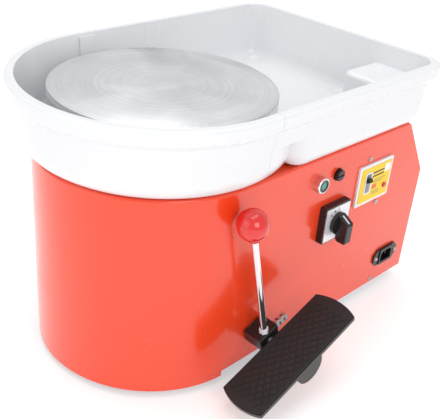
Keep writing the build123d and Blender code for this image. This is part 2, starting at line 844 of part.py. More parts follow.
with BuildPart() as board_capacitors:
    with BuildSketch(board_top):
        with Locations((-18, 30), (8, 30)):
            Circle(11)
    extrude(amount=32)
    fillet(board_capacitors.faces().sort_by(Axis.Z)[-2:].edges(), radius=1)
keep(board_capacitors, "board_capacitors")

with BuildPart() as heat_sink:
    with BuildSketch(board_top):
        with Locations((0, -22)):
            Rectangle(50, 52)
    extrude(amount=5)
    with BuildSketch(board_top.offset(5)):
        with Locations((0, -22)):
            with GridLocations(6, 1, 9, 1):
                Rectangle(1.8, 52)
    extrude(amount=22)
keep(heat_sink, "heat_sink")

# ---- switch ----

switch_proud = 9.0
plate_t = 1.0
knob_r = 14.0
knob_stem_r = 4.0
bar_w = 12.0
bar_x = half_w + switch_proud + plate_t + gap + 4.5
bar_out = 15.0
inside_x = half_w - sheet_t

with BuildPart() as switch_frame:
    with BuildSketch(across(half_w, *switch_at)):
        RectangleRounded(switch_size, switch_size, 2)
    extrude(amount=switch_proud)
    with BuildSketch(across(half_w + switch_proud - 1, *switch_at)):
        RectangleRounded(switch_size - 4, switch_size - 4, 1)
    extrude(amount=1, mode=Mode.SUBTRACT)
    with BuildSketch(across(half_w - 14, *switch_at)):
        Circle(switch_neck_r)
    extrude(amount=14)
    with BuildSketch(across(half_w - 14, *switch_at)):
        Circle(knob_stem_r + run)
    extrude(amount=40, mode=Mode.SUBTRACT)
keep(switch_frame, "switch_frame")

with BuildPart() as switch_plate:
    with BuildSketch(across(half_w + switch_proud - 1, *switch_at)):
        RectangleRounded(switch_size - 4, switch_size - 4, 1)
        Circle(knob_stem_r + 1, mode=Mode.SUBTRACT)
    extrude(amount=1 + plate_t)
keep(switch_plate, "switch_plate")

with BuildPart() as switch_contacts:
    with BuildSketch(across(inside_x - 1, *switch_at)):
        RectangleRounded(44, 44, 3)
        Circle(switch_neck_r, mode=Mode.SUBTRACT)
    extrude(amount=-11.5)
    with BuildSketch(across(half_w - 14, *switch_at)):
        RectangleRounded(44, 44, 3)
    extrude(amount=-34)
    with BuildSketch(across(half_w - 20, *switch_at)):
        Circle(knob_stem_r + 0.5)
    extrude(amount=10, mode=Mode.SUBTRACT)
keep(switch_contacts, "switch_contacts")

bar_top = 13.5
bar_slope = 9.0
bar_bottom = 21.0
pointer_w = 2.2
pointer_t = 0.8
slope_len = math.hypot(bar_out, bar_slope)
grip_plane = Plane(
    origin=(bar_x, switch_at[0] + bar_w / 2, switch_at[1]), x_dir=(1, 0, 0), z_dir=(0, -1, 0)
)
slope_plane = Plane(
    origin=(bar_x + bar_out / 2, switch_at[0], switch_at[1] + bar_top - bar_slope / 2),
    x_dir=(bar_out, 0, -bar_slope),
    z_dir=(bar_slope, 0, bar_out),
)

with BuildPart() as switch_knob:
    with BuildSketch(grip_plane):
        with BuildLine():
            Polyline(
                (0, -bar_bottom + 3),
                (0, bar_top),
                (bar_out, bar_top - bar_slope),
                (bar_out, -bar_bottom),
                (3, -bar_bottom),
                close=True,
            )
        make_face()
    extrude(amount=bar_w)
    chamfer(switch_knob.faces().sort_by(Axis.X)[-1].edges(), length=1.2)
    with BuildSketch(across(half_w + switch_proud + plate_t + gap, *switch_at)):
        Circle(knob_r)
    extrude(amount=bar_x - half_w - switch_proud - plate_t - gap)
    with BuildSketch(across(half_w - 18, *switch_at)):
        Circle(knob_stem_r)
    extrude(amount=bar_x - half_w + 18)
    # groove for the pointer line, down the sloping end
    with BuildSketch(slope_plane):
        Rectangle(slope_len - 5, pointer_w)
    extrude(amount=-pointer_t, mode=Mode.SUBTRACT)
keep(switch_knob, "switch_knob")

with BuildPart() as knob_pointer:
    with BuildSketch(slope_plane.offset(-pointer_t)):
        Rectangle(slope_len - 5, pointer_w)
    extrude(amount=pointer_t)
keep(knob_pointer, "knob_pointer")

# ---- pilot lamp ----

lamp_proud = 8.5
lamp_ring_r = 9.8

with BuildPart() as lamp_bezel:
    with BuildSketch(across(half_w, *lamp_at)):
        Circle(lamp_ring_r)
    extrude(amount=lamp_proud)
    fillet(lamp_bezel.faces().sort_by(Axis.X)[-1].edges(), radius=1.5)
    with BuildSketch(across(half_w - 26, *lamp_at)):
        Circle(lamp_r)
    extrude(amount=26)
    with BuildSketch(across(half_w + 2, *lamp_at)):
        Circle(lamp_r - 1)
    extrude(amount=lamp_proud, mode=Mode.SUBTRACT)
keep(lamp_bezel, "lamp_bezel")

with BuildPart() as lamp_lens:
    with BuildSketch(across(half_w + 2, *lamp_at)):
        Circle(lamp_r - 1)
    extrude(amount=lamp_proud - 2.5)
    fillet(lamp_lens.faces().sort_by(Axis.X)[-1].edges(), radius=2)
keep(lamp_lens, "lamp_lens")

# ---- fuse ----

fuse_flange_r = 8.0
fuse_flange_t = 1.5
fuse_cap_r = 7.0
fuse_cap_t = 3.8
fuse_stem_r = 4.5
fuse_depth = 38.0

with BuildPart() as fuse_holder:
    with BuildSketch(across(half_w, *fuse_at)):
        Circle(fuse_flange_r)
    extrude(amount=fuse_flange_t)
    with BuildSketch(across(half_w - fuse_depth, *fuse_at)):
        Circle(fuse_r)
    extrude(amount=fuse_depth)
    with BuildSketch(across(half_w - fuse_depth + 3, *fuse_at)):
        Circle(fuse_stem_r + run)
    extrude(amount=fuse_depth, mode=Mode.SUBTRACT)
keep(fuse_holder, "fuse_holder")

with BuildPart() as fuse_cap:
    with BuildSketch(across(half_w + fuse_flange_t + gap, *fuse_at)):
        Circle(fuse_cap_r)
    extrude(amount=fuse_cap_t)
    fillet(fuse_cap.faces().sort_by(Axis.X)[-1].edges(), radius=1.2)
    with BuildSketch(across(half_w + fuse_flange_t + gap + fuse_cap_t, *fuse_at)):
        Rectangle(2 * fuse_cap_r, 1.8)
    extrude(amount=-2, mode=Mode.SUBTRACT)
    with BuildSketch(across(half_w - 8, *fuse_at)):
        Circle(fuse_stem_r)
    extrude(amount=8 + fuse_flange_t + gap)
keep(fuse_cap, "fuse_cap")

# ---- residual-current breaker ----

rcd_frame_t = 3.0
slot_at = (rcd_at[0] - 15.7, rcd_at[1] + 2.5)
slot_w = 10.0
slot_h = 26.0
test_at = (rcd_at[0] + 22.5, rcd_at[1] - 10.5)
test_r = 3.2
test_travel = 1.5
label_w = 62.0
label_h = 47.0
label_t = 0.6
toggle_x = half_w - 4
toggle_r = 5.0
toggle_w = 6.4
toggle_out = 13.0
toggle_swing = 25.0
test_proud = 2.6
toggle_room = toggle_r + 5
pin_r = 1.5
pin_in = 3.0
toggle_plane = Plane(origin=(toggle_x, slot_at[0], slot_at[1]), x_dir=(1, 0, 0), z_dir=(0, -1, 0))

with BuildPart() as rcd_housing:
    with BuildSketch(across(half_w, *rcd_at)):
        RectangleRounded(rcd_w, rcd_h, 2.5)
    extrude(amount=rcd_frame_t)
    fillet(rcd_housing.faces().sort_by(Axis.X)[-1].edges(), radius=0.8)
    with BuildSketch(across(half_w - 34, *rcd_at)):
        Rectangle(rcd_body_w, rcd_body_h)
    extrude(amount=34)
    # raised surround of the toggle slot
    with BuildSketch(across(half_w + rcd_frame_t, *slot_at)):
        RectangleRounded(slot_w + 4, slot_h + 4, 3)
    extrude(amount=1.2)
    with BuildSketch(across(half_w + rcd_frame_t + 2, *slot_at)):
        RectangleRounded(slot_w, slot_h, 2)
    extrude(amount=-(rcd_frame_t + 2 + 4 + toggle_room), mode=Mode.SUBTRACT)
    with BuildSketch(toggle_plane):
        Circle(pin_r + run)
    extrude(amount=slot_w / 2 + pin_in + gap, both=True, mode=Mode.SUBTRACT)
    with BuildSketch(across(half_w + rcd_frame_t, *test_at)):
        Circle(test_r + gap)
    extrude(amount=-10, mode=Mode.SUBTRACT)
keep(rcd_housing, "rcd_housing")

with BuildPart() as rcd_label:
    with BuildSketch(across(half_w + rcd_frame_t, *rcd_at)):
        RectangleRounded(label_w, label_h, 1)
        with Locations((slot_at[0] - rcd_at[0], slot_at[1] - rcd_at[1])):
            RectangleRounded(slot_w + 4.4, slot_h + 4.4, 3, mode=Mode.SUBTRACT)
        with Locations((test_at[0] - rcd_at[0], test_at[1] - rcd_at[1])):
            Circle(test_r + 1.5, mode=Mode.SUBTRACT)
    extrude(amount=label_t)
keep(rcd_label, "rcd_label")

with BuildPart() as rcd_toggle:
    with BuildSketch(toggle_plane):
        Circle(toggle_r)
        with Locations(Location((0, 0, 0), (0, 0, toggle_swing))):
            with Locations((toggle_out / 2, 0)):
                Rectangle(toggle_out, 5)
    extrude(amount=toggle_w / 2, both=True)
    with BuildSketch(toggle_plane):
        Circle(pin_r)
    extrude(amount=slot_w / 2 + pin_in, both=True)
keep(rcd_toggle, "rcd_toggle")

with BuildPart() as test_button:
    with BuildSketch(across(half_w + rcd_frame_t + test_proud, *test_at)):
        Circle(test_r)
    extrude(amount=-(test_proud + 6))
    fillet(test_button.faces().sort_by(Axis.X)[-1].edges(), radius=0.8)
keep(test_button, "test_button")

# ---- mains inlet ----

inlet_flange_t = 2.5
inlet_shroud = 1.5
inlet_cut = 7.5
inlet_depth = 22.0
socket_w = 24.5
socket_h = 16.5
socket_depth = 17.0

with BuildPart() as inlet_pins:
    with BuildSketch(across(half_w + inlet_flange_t - socket_depth - 8, *inlet_at)):
        with Locations((-7, -1.5), (0, 2.5), (7, -1.5)):
            Rectangle(2, 4)
    extrude(amount=socket_depth + 4)
keep(inlet_pins, "inlet_pins")

with BuildPart() as inlet_housing:
    with BuildSketch(across(half_w, *inlet_at)) as flange:
        Rectangle(inlet_w, inlet_h)
        chamfer(flange.vertices(), length=inlet_cut)
        with Locations((-inlet_pitch / 2, 0), (inlet_pitch / 2, 0)):
            Circle(panel_screw_r, mode=Mode.SUBTRACT)
    extrude(amount=inlet_flange_t)
    with BuildSketch(across(half_w, *inlet_at)):
        RectangleRounded(socket_w + 5, inlet_h - 1, 2)
    extrude(amount=inlet_flange_t + inlet_shroud)
    with BuildSketch(across(half_w - inlet_depth, *inlet_at)):
        Rectangle(inlet_hole_w - 1, inlet_hole_h - 1)
    extrude(amount=inlet_depth)
    with BuildSketch(across(half_w + inlet_flange_t + inlet_shroud, *inlet_at)) as mouth:
        Rectangle(socket_w, socket_h)
        chamfer(mouth.vertices().group_by(Axis.Y)[-1], length=4)
    extrude(amount=-socket_depth - inlet_shroud, mode=Mode.SUBTRACT)
    add(inlet_pins.part, mode=Mode.SUBTRACT)
keep(inlet_housing, "inlet_housing")

# ---- screws and nuts of the side panels ----

edge_screw_len = sheet_t + pan_gap + pan_t + 2
edge_screws = screws(panel, edge_screws_at, 3.0, 1.6, panel_screw_r, edge_screw_len).part
with BuildPart() as panel_screws:
    add(edge_screws)
    mirror(edge_screws, about=Plane.YZ)
    add(screws(panel, rcd_screws_at, 3.2, 1.8, panel_screw_r, 8).part)
    add(screws(panel.offset(inlet_flange_t), inlet_screws_at, 2.9, 1.6, panel_screw_r, 9).part)
keep(panel_screws, "panel_screws")

with BuildPart() as panel_nuts:
    for spot, nut_r, hole_r in ((lamp_at, 11, lamp_r), (fuse_at, 9, fuse_r), (lever_at, 13, bush_r)):
        with BuildSketch(across(inside_x, *spot)):
            RegularPolygon(nut_r, 6, major_radius=False)
            Circle(hole_r, mode=Mode.SUBTRACT)
        extrude(amount=-4)
keep(panel_nuts, "panel_nuts")

# ---- lever, pedal and their shaft ----

bush_flange_r = 12.0
bush_flange_t = 2.0
bush_in = 8.5
shaft_in_x = gear_x - 6
pedal_shaft_r = 5.0
pedal_cap_t = 4.0
rod_u = -2.0
rod_in = 7.0
rod_end = 6.0
knob_neck_r = 7.0
knob_neck = 4.0
collar_flats = 9.5
collar_h = 6.5
clamp_r = 3.0
clamp_v = 9.5
clamp_u0 = 3.0
clamp_end = 33.0
plate_v = pedal_top - tread_t - pedal_t
pedal_mid_x = (pedal_x0 + pedal_x1) / 2


def lever_point(x, u, v):
    """The point at u along the pedal and v off its top, at x across."""
    return (x, lever_y + u * tilt_cos - v * tilt_sin, lever_z + u * tilt_sin + v * tilt_cos)


def pedal_plane(v):
    """Plane along the pedal's top, v above the shaft's axis."""
    return Plane(origin=lever_point(pedal_mid_x, 0, v), x_dir=(1, 0, 0), z_dir=(0, -tilt_sin, tilt_cos))


def pedal_outline(inset):
    w = (pedal_x1 - pedal_x0) / 2 - inset
    end = pedal_len / 2 - end_bow - inset
    with BuildSketch() as sk:
        with BuildLine():
            Line((-w, -end), (-w, end))
            ThreePointArc((-w, end), (0, end + end_bow), (w, end))
            Line((w, end), (w, -end))
            ThreePointArc((w, -end), (0, -end - end_bow), (-w, -end))
        make_face()
        fillet(sk.vertices(), radius=pedal_corner_r)
    return sk.sketch


rod_lean = math.radians(rod_tilt)
rod_plane = Plane(
    origin=lever_point(rod_x, rod_u, block_half),
    x_dir=(1, 0, 0),
    z_dir=(0, -math.sin(rod_lean), math.cos(rod_lean)),
)
clamp_plane = Plane(
    origin=lever_point(rod_x, 0, clamp_v), x_dir=(1, 0, 0), z_dir=(0, tilt_cos, tilt_sin)
)

with BuildPart() as shaft_bush:
    with BuildSketch(across(half_w, *lever_at)):
        Circle(bush_flange_r)
    extrude(amount=bush_flange_t)
    with BuildSketch(across(half_w - bush_in, *lever_at)):
        Circle(bush_r)
    extrude(amount=bush_in)
    with BuildSketch(across(half_w - bush_in, *lever_at)):
        Circle(lever_shaft_r + run)
    extrude(amount=bush_in + bush_flange_t, mode=Mode.SUBTRACT)
keep(shaft_bush, "shaft_bush")

with BuildPart() as lever_shaft:
    with BuildSketch(across(shaft_in_x, *lever_at)):
        Circle(lever_shaft_r)
    extrude(amount=block_x1 - shaft_in_x)
    with BuildSketch(across(block_x1, *lever_at)):
        Circle(pedal_shaft_r)
    extrude(amount=pedal_x1 - pedal_cap_t - block_x1)
keep(lever_shaft, "lever_shaft")

with BuildPart() as lever_hub:
    with BuildSketch(lever_side(block_x0)):
        Circle(block_half)
        Rectangle(2 * block_half, block_half, align=(Align.CENTER, Align.MIN))
    extrude(amount=block_x1 - block_x0)
    chamfer(lever_hub.faces().sort_by(Axis.X)[-1].edges(), length=1)
    with BuildSketch(across(block_x0, *lever_at)):
        Circle(lever_shaft_r)
    extrude(amount=block_x1 - block_x0, mode=Mode.SUBTRACT)
    with BuildSketch(rod_plane.offset(-rod_in)):
        Circle(rod_r)
    extrude(amount=rod_in + 3, mode=Mode.SUBTRACT)
    with BuildSketch(clamp_plane.offset(clamp_u0)):
        Circle(clamp_r)
    extrude(amount=block_half, mode=Mode.SUBTRACT)
keep(lever_hub, "lever_hub")

with BuildPart() as lever_rod:
    with BuildSketch(rod_plane.offset(-rod_in)):
        Circle(rod_r)
    extrude(amount=rod_in + rod_len - rod_end)
keep(lever_rod, "lever_rod")

with BuildPart() as rod_collar:
    with BuildSketch(rod_plane.offset(0.8)):
        RegularPolygon(collar_flats / 2, 6, major_radius=False)
        Circle(rod_r, mode=Mode.SUBTRACT)
    extrude(amount=collar_h)
keep(rod_collar, "rod_collar")

with BuildPart() as lever_knob:
    with Locations(rod_plane.offset(rod_len).location):
        Sphere(ball_r)
    with BuildSketch(rod_plane.offset(rod_len - ball_r - knob_neck + 1)):
        Circle(knob_neck_r)
    extrude(amount=knob_neck + 4)
    with BuildSketch(rod_plane.offset(rod_len - ball_r - knob_neck)):
        Circle(rod_r)
    extrude(amount=ball_r + knob_neck - rod_end, mode=Mode.SUBTRACT)
keep(lever_knob, "lever_knob")

with BuildPart() as clamp_bolt:
    with BuildSketch(clamp_plane.offset(clamp_u0)):
        Circle(clamp_r)
    extrude(amount=clamp_end - 4 - clamp_u0)
    with BuildSketch(clamp_plane.offset(clamp_end - 4)):
        RegularPolygon(5, 6, major_radius=False)
    extrude(amount=4)
    with BuildSketch(clamp_plane.offset(clamp_end)):
        Circle(2.4)
    extrude(amount=-2.5, mode=Mode.SUBTRACT)
    for start, thick in ((block_half + 0.5, 3.5), (block_half + 7, 4)):
        with BuildSketch(clamp_plane.offset(start)):
            RegularPolygon(5, 6, major_radius=False)
            Circle(clamp_r + run, mode=Mode.SUBTRACT)
        extrude(amount=thick)
keep(clamp_bolt, "clamp_bolt")

with BuildPart() as pedal_plate:
    with BuildSketch(pedal_plane(plate_v)):
        add(pedal_outline(0))
    extrude(amount=pedal_t)
    # half-round bosses and the tube that joins them under the plate
    for x, length, r in (
        (pedal_x0, boss_t, boss_r),
        (pedal_x1 - boss_t, boss_t, boss_r),
        (pedal_x0, pedal_x1 - pedal_x0, block_half - 5),
    ):
        with BuildSketch(lever_side(x)):
            Circle(r)
            with Locations((0, plate_v + 1)):
                Rectangle(4 * r, 2 * r, align=(Align.CENTER, Align.MIN), mode=Mode.SUBTRACT)
        extrude(amount=length)
    with BuildSketch(across(pedal_x0, *lever_at)):
        Circle(pedal_shaft_r)
    extrude(amount=pedal_x1 - pedal_cap_t - pedal_x0, mode=Mode.SUBTRACT)
keep(pedal_plate, "pedal_plate")

with BuildPart() as pedal_tread:
    with BuildSketch(pedal_plane(plate_v + pedal_t)):
        add(pedal_outline(1))
    extrude(amount=tread_t)
keep(pedal_tread, "pedal_tread")

# ---- speed sensor on the inner end of the shaft ----

bracket_x = gear_x + gear_t + 4
bracket_plate_t = 3.0
bracket_w = 50.0
bracket_foot = 22.0
floor_z = panel_bottom_z + pan_t
sensor_z = lever_z + gear_module * (sector_teeth + pinion_teeth) / 2
pot_r = 12.0
pot_len = 14.0
pot_neck_r = 4.5
pot_shaft_r = 3.0
sector_first = -12
sector_count = 16
sector_hub_r = 12.0

with BuildPart() as sector_gear:
    with BuildSketch(across(gear_x, *lever_at)):
        add(gear(sector_teeth, sector_first, sector_count, lever_shaft_r, sector_hub_r))
    extrude(amount=gear_t)
keep(sector_gear, "sector_gear")

with BuildPart() as pot_gear:
    with BuildSketch(across(gear_x, lever_y, sensor_z)):
        # half a tooth pitch round, so that a space faces the sector
        add(gear(pinion_teeth, 0, pinion_teeth, 1, 1).rotate(Axis.Z, 180 / pinion_teeth))
        Circle(pot_shaft_r)
    extrude(amount=gear_t)
    with BuildSketch(across(gear_x + gear_t, lever_y, sensor_z)):
        Circle(pot_shaft_r)
    extrude(amount=bracket_x + bracket_plate_t + pot_len - 4 - gear_x - gear_t)
keep(pot_gear, "pot_gear")

with BuildPart() as potentiometer:
    with BuildSketch(across(bracket_x + bracket_plate_t, lever_y, sensor_z)):
        Circle(pot_r)
    extrude(amount=pot_len)
    with BuildSketch(across(bracket_x, lever_y, sensor_z)):
        Circle(pot_neck_r)
    extrude(amount=bracket_plate_t)
    with BuildSketch(across(bracket_x, lever_y, sensor_z)):
        Circle(pot_shaft_r + run)
    extrude(amount=bracket_plate_t + pot_len - 4 + gap, mode=Mode.SUBTRACT)
keep(potentiometer, "potentiometer")

with BuildPart() as shaft_bracket:
    with BuildSketch(across(bracket_x, lever_y, floor_z)):
        Rectangle(bracket_w, sensor_z + pot_r + 7 - floor_z, align=(Align.CENTER, Align.MIN))
    extrude(amount=bracket_plate_t)
    with BuildSketch(Plane((bracket_x, lever_y, floor_z))):
        Rectangle(bracket_foot, bracket_w, align=(Align.MIN, Align.CENTER))
    extrude(amount=bracket_plate_t)
    with BuildSketch(across(bracket_x, *lever_at)):
        Circle(lever_shaft_r + run)
        with Locations((0, sensor_z - lever_z)):
            Circle(pot_neck_r)
    extrude(amount=bracket_plate_t, mode=Mode.SUBTRACT)
keep(shaft_bracket, "shaft_bracket")
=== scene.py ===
import json
import math

import bmesh
import bpy
from mathutils import Matrix, Vector


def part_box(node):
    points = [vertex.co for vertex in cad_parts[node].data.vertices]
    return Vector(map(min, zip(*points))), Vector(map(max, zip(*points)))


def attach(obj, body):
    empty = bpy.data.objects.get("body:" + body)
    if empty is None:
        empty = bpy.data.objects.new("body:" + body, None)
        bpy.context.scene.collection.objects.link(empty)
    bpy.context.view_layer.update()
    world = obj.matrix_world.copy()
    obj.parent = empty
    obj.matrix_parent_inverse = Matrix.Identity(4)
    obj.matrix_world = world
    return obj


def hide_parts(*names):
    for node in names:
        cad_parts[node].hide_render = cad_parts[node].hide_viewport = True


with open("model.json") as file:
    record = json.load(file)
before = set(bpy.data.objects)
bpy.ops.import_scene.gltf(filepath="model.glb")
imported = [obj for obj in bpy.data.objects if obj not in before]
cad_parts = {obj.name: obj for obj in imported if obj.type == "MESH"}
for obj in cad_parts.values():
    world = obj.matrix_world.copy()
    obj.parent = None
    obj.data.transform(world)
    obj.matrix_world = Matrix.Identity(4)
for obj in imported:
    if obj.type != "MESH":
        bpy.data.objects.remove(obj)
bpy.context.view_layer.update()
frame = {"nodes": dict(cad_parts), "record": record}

cadNodes = frame["nodes"]
print("frame loaded:", len(cadNodes), "nodes")

# ---- small helpers for node trees ----


def addNode(tree, kind, **values):
    node = tree.nodes.new(kind)
    for key, value in values.items():
        setattr(node, key, value)
    return node


def mathNode(tree, operation, a, b=None):
    node = addNode(tree, "ShaderNodeMath", operation=operation)
    for socket, value in zip(node.inputs, (a, b)):
        if value is None:
            continue
        if isinstance(value, (int, float)):
            socket.default_value = value
        else:
            tree.links.new(value, socket)
    return node.outputs[0]


def rangeNode(tree, value, low, high, toLow, toHigh):
    node = addNode(tree, "ShaderNodeMapRange")
    tree.links.new(value, node.inputs["Value"])
    for name, number in (("From Min", low), ("From Max", high), ("To Min", toLow), ("To Max", toHigh)):
        if isinstance(number, (int, float)):
            node.inputs[name].default_value = number
        else:
            tree.links.new(number, node.inputs[name])
    return node.outputs["Result"]


def groupWith(name, inputs, outputs):
    group = bpy.data.node_groups.new(name, "ShaderNodeTree")
    for label, value in inputs:
        group.interface.new_socket(label, in_out="INPUT", socket_type="NodeSocketFloat").default_value = value
    for label in outputs:
        group.interface.new_socket(label, in_out="OUTPUT", socket_type="NodeSocketFloat")
    return group, group.nodes.new("NodeGroupInput"), group.nodes.new("NodeGroupOutput")


# fine grain, wide smudges and hairline scratches, shared by every finish
def makeHandling():
    group, given, result = groupWith(
        "handling",
        [
            ("Grain Scale", 900.0), ("Smudge Scale", 12.0), ("Smudge Low", 0.2), ("Smudge High", 0.3),
            ("Scratches", 0.3),
        ],
        ["Grain", "Roughness", "Scratch"],
    )
    coords = addNode(group, "ShaderNodeTexCoord").outputs["Object"]
    grain = addNode(group, "ShaderNodeTexNoise")
    grain.inputs["Detail"].default_value = 3
    group.links.new(coords, grain.inputs["Vector"])
    group.links.new(given.outputs["Grain Scale"], grain.inputs["Scale"])
    smudge = addNode(group, "ShaderNodeTexNoise")
    smudge.inputs["Detail"].default_value = 5
    smudge.inputs["Distortion"].default_value = 0.6
    group.links.new(coords, smudge.inputs["Vector"])
    group.links.new(given.outputs["Smudge Scale"], smudge.inputs["Scale"])
    stretch = addNode(group, "ShaderNodeMapping")
    stretch.inputs["Scale"].default_value = (14, 260, 60)
    stretch.inputs["Rotation"].default_value = (0.3, 0.2, 0.7)
    group.links.new(coords, stretch.inputs["Vector"])
    lines = addNode(group, "ShaderNodeTexNoise")
    lines.inputs["Scale"].default_value = 1.0
    lines.inputs["Detail"].default_value = 2
    group.links.new(stretch.outputs["Vector"], lines.inputs["Vector"])
    thin = rangeNode(group, lines.outputs["Fac"], 0.64, 0.70, 0.0, 1.0)
    group.links.new(grain.outputs["Fac"], result.inputs["Grain"])
    rough = rangeNode(
        group, smudge.outputs["Fac"], 0.35, 0.65, given.outputs["Smudge Low"], given.outputs["Smudge High"]
    )
    group.links.new(rough, result.inputs["Roughness"])
    group.links.new(mathNode(group, "MULTIPLY", thin, given.outputs["Scratches"]), result.inputs["Scratch"])
    return group


# rings left by the lathe, round an axis along Z through the origin
def makeTurning():
    group, given, result = groupWith("turning", [("Rings", 900.0), ("Coarse", 90.0)], ["Height", "Tone"])
    coords = addNode(group, "ShaderNodeTexCoord").outputs["Object"]
    parts = addNode(group, "ShaderNodeSeparateXYZ")
    group.links.new(coords, parts.inputs["Vector"])
    across = mathNode(group, "MULTIPLY", parts.outputs["X"], parts.outputs["X"])
    along = mathNode(group, "MULTIPLY", parts.outputs["Y"], parts.outputs["Y"])
    radius = mathNode(group, "SQRT", mathNode(group, "ADD", across, along))
    for label, where in (("Rings", "Height"), ("Coarse", "Tone")):
        place = addNode(group, "ShaderNodeCombineXYZ")
        group.links.new(mathNode(group, "MULTIPLY", radius, given.outputs[label]), place.inputs["X"])
        group.links.new(mathNode(group, "MULTIPLY", parts.outputs["Z"], given.outputs[label]),
                        place.inputs["Z"])
        ring = addNode(group, "ShaderNodeTexNoise")
        ring.inputs["Scale"].default_value = 1.0
        ring.inputs["Detail"].default_value = 2
        group.links.new(place.outputs["Vector"], ring.inputs["Vector"])
        group.links.new(ring.outputs["Fac"], result.inputs[where])
    return group


# a filled rectangle on the side panel: 1 inside, 0 outside
def makePatch():
    group, given, result = groupWith(
        "patch",
        [("Centre Y", 0.0), ("Centre Z", 0.0), ("Half Y", 0.01), ("Half Z", 0.01), ("Slope", 0.0)],
        ["Mask"],
    )
    coords = addNode(group, "ShaderNodeTexCoord").outputs["Object"]
    parts = addNode(group, "ShaderNodeSeparateXYZ")
    group.links.new(coords, parts.inputs["Vector"])
    alongY = mathNode(group, "SUBTRACT", parts.outputs["Y"], given.outputs["Centre Y"])
    alongZ = mathNode(group, "SUBTRACT", parts.outputs["Z"], given.outputs["Centre Z"])
    leaned = mathNode(group, "SUBTRACT", alongZ, mathNode(group, "MULTIPLY", alongY, given.outputs["Slope"]))
    insideY = mathNode(group, "LESS_THAN", mathNode(group, "ABSOLUTE", alongY), given.outputs["Half Y"])
    insideZ = mathNode(group, "LESS_THAN", mathNode(group, "ABSOLUTE", leaned), given.outputs["Half Z"])
    group.links.new(mathNode(group, "MULTIPLY", insideY, insideZ), result.inputs["Mask"])
    return group


handling = makeHandling()
turning = makeTurning()
patch = makePatch()
print("shared shader groups ready")

# ---- finishes ----

finishes = {
    "orange_paint": dict(colour=(0.86, 0.058, 0.012), dark=(0.82, 0.050, 0.009), rough=(0.20, 0.28),
                         coat=0.45,
                         grain=420, depth=0.00003, scratches=0.05),
    "white_abs": dict(colour=(0.80, 0.81, 0.83), dark=(0.76, 0.77, 0.79), rough=(0.16, 0.28), coat=0.25,
                      grain=300, depth=0.00002, scratches=0.12),
    "white_plastic": dict(colour=(0.84, 0.84, 0.85), dark=(0.76, 0.76, 0.77), rough=(0.25, 0.35), coat=0.1,
                          grain=900, depth=0.00002, scratches=0.05),
    "black_plastic": dict(colour=(0.012, 0.012, 0.013), dark=(0.008, 0.008, 0.008), rough=(0.22, 0.36),
                          coat=0.0,
                          grain=1400, depth=0.00004, scratches=0.15),
    "black_paint": dict(colour=(0.02, 0.02, 0.02), dark=(0.012, 0.012, 0.012), rough=(0.35, 0.5), coat=0.0,
                        grain=800, depth=0.00006, scratches=0.2),
    "red_plastic": dict(colour=(0.74, 0.018, 0.014), dark=(0.66, 0.014, 0.011), rough=(0.06, 0.12), coat=0.6,
                        grain=200, depth=0.00001, scratches=0.05),
    "green_lens": dict(colour=(0.01, 0.28, 0.20), dark=(0.008, 0.20, 0.15), rough=(0.08, 0.14), coat=0.5,
                       grain=300, depth=0.00002, scratches=0.0),
    "circuit_board": dict(colour=(0.015, 0.14, 0.05), dark=(0.01, 0.09, 0.03), rough=(0.3, 0.45), coat=0.2,
                          grain=240, depth=0.00008, scratches=0.4),
    "belt_rubber": dict(colour=(0.02, 0.02, 0.02), dark=(0.012, 0.012, 0.012), rough=(0.6, 0.75), coat=0.0,
                        grain=1200, depth=0.0001, scratches=0.1),
    "foot_rubber": dict(colour=(0.03, 0.03, 0.03), dark=(0.018, 0.018, 0.018), rough=(0.6, 0.8), coat=0.0,
                        grain=900, depth=0.0001, scratches=0.1),
    "tread_rubber": dict(colour=(0.012, 0.011, 0.011), dark=(0.006, 0.006, 0.006), rough=(0.5, 0.66),
                         coat=0.0,
                         grain=1100, depth=0.00008, scratches=0.2),
    "chrome_trim": dict(colour=(0.82, 0.82, 0.84), dark=(0.72, 0.72, 0.74), rough=(0.06, 0.14), coat=0.0,
                        grain=500, depth=0.00001, scratches=0.1, metal=1.0),
    "bright_steel": dict(colour=(0.62, 0.62, 0.63), dark=(0.48, 0.48, 0.49), rough=(0.22, 0.36), coat=0.0,
                         grain=1200, depth=0.00003, scratches=0.3, metal=1.0),
    "zinc_steel": dict(colour=(0.56, 0.57, 0.60), dark=(0.42, 0.43, 0.46), rough=(0.3, 0.5), coat=0.0,
                       grain=160, depth=0.00004, scratches=0.3, metal=1.0),
    "cast_aluminium": dict(colour=(0.60, 0.61, 0.63), dark=(0.48, 0.49, 0.50), rough=(0.34, 0.5), coat=0.0,
                           grain=700, depth=0.0001, scratches=0.2, metal=1.0),
    "brass_gear": dict(colour=(0.68, 0.46, 0.17), dark=(0.5, 0.32, 0.10), rough=(0.22, 0.36), coat=0.0,
                       grain=900, depth=0.00003, scratches=0.3, metal=1.0),
    "switch_silver": dict(colour=(0.84, 0.84, 0.86), dark=(0.78, 0.78, 0.80), rough=(0.28, 0.38), coat=0.0,
                          grain=1500, depth=0.00002, scratches=0.3, metal=0.4),
    "yellow_label": dict(colour=(0.90, 0.62, 0.006), dark=(0.86, 0.58, 0.004), rough=(0.4, 0.52), coat=0.0,
                         grain=800, depth=0.00001, scratches=0.05),
    "turned_aluminium": dict(colour=(0.86, 0.87, 0.89), dark=(0.79, 0.80, 0.82), rough=(0.26, 0.46), coat=0.0,
                             grain=900, depth=0.00002, scratches=0.9, metal=1.0),
}


def placeGroup(tree, group, **values):
    node = addNode(tree, "ShaderNodeGroup", node_tree=group)
    for key, value in values.items():
        node.inputs[key].default_value = value
    return node


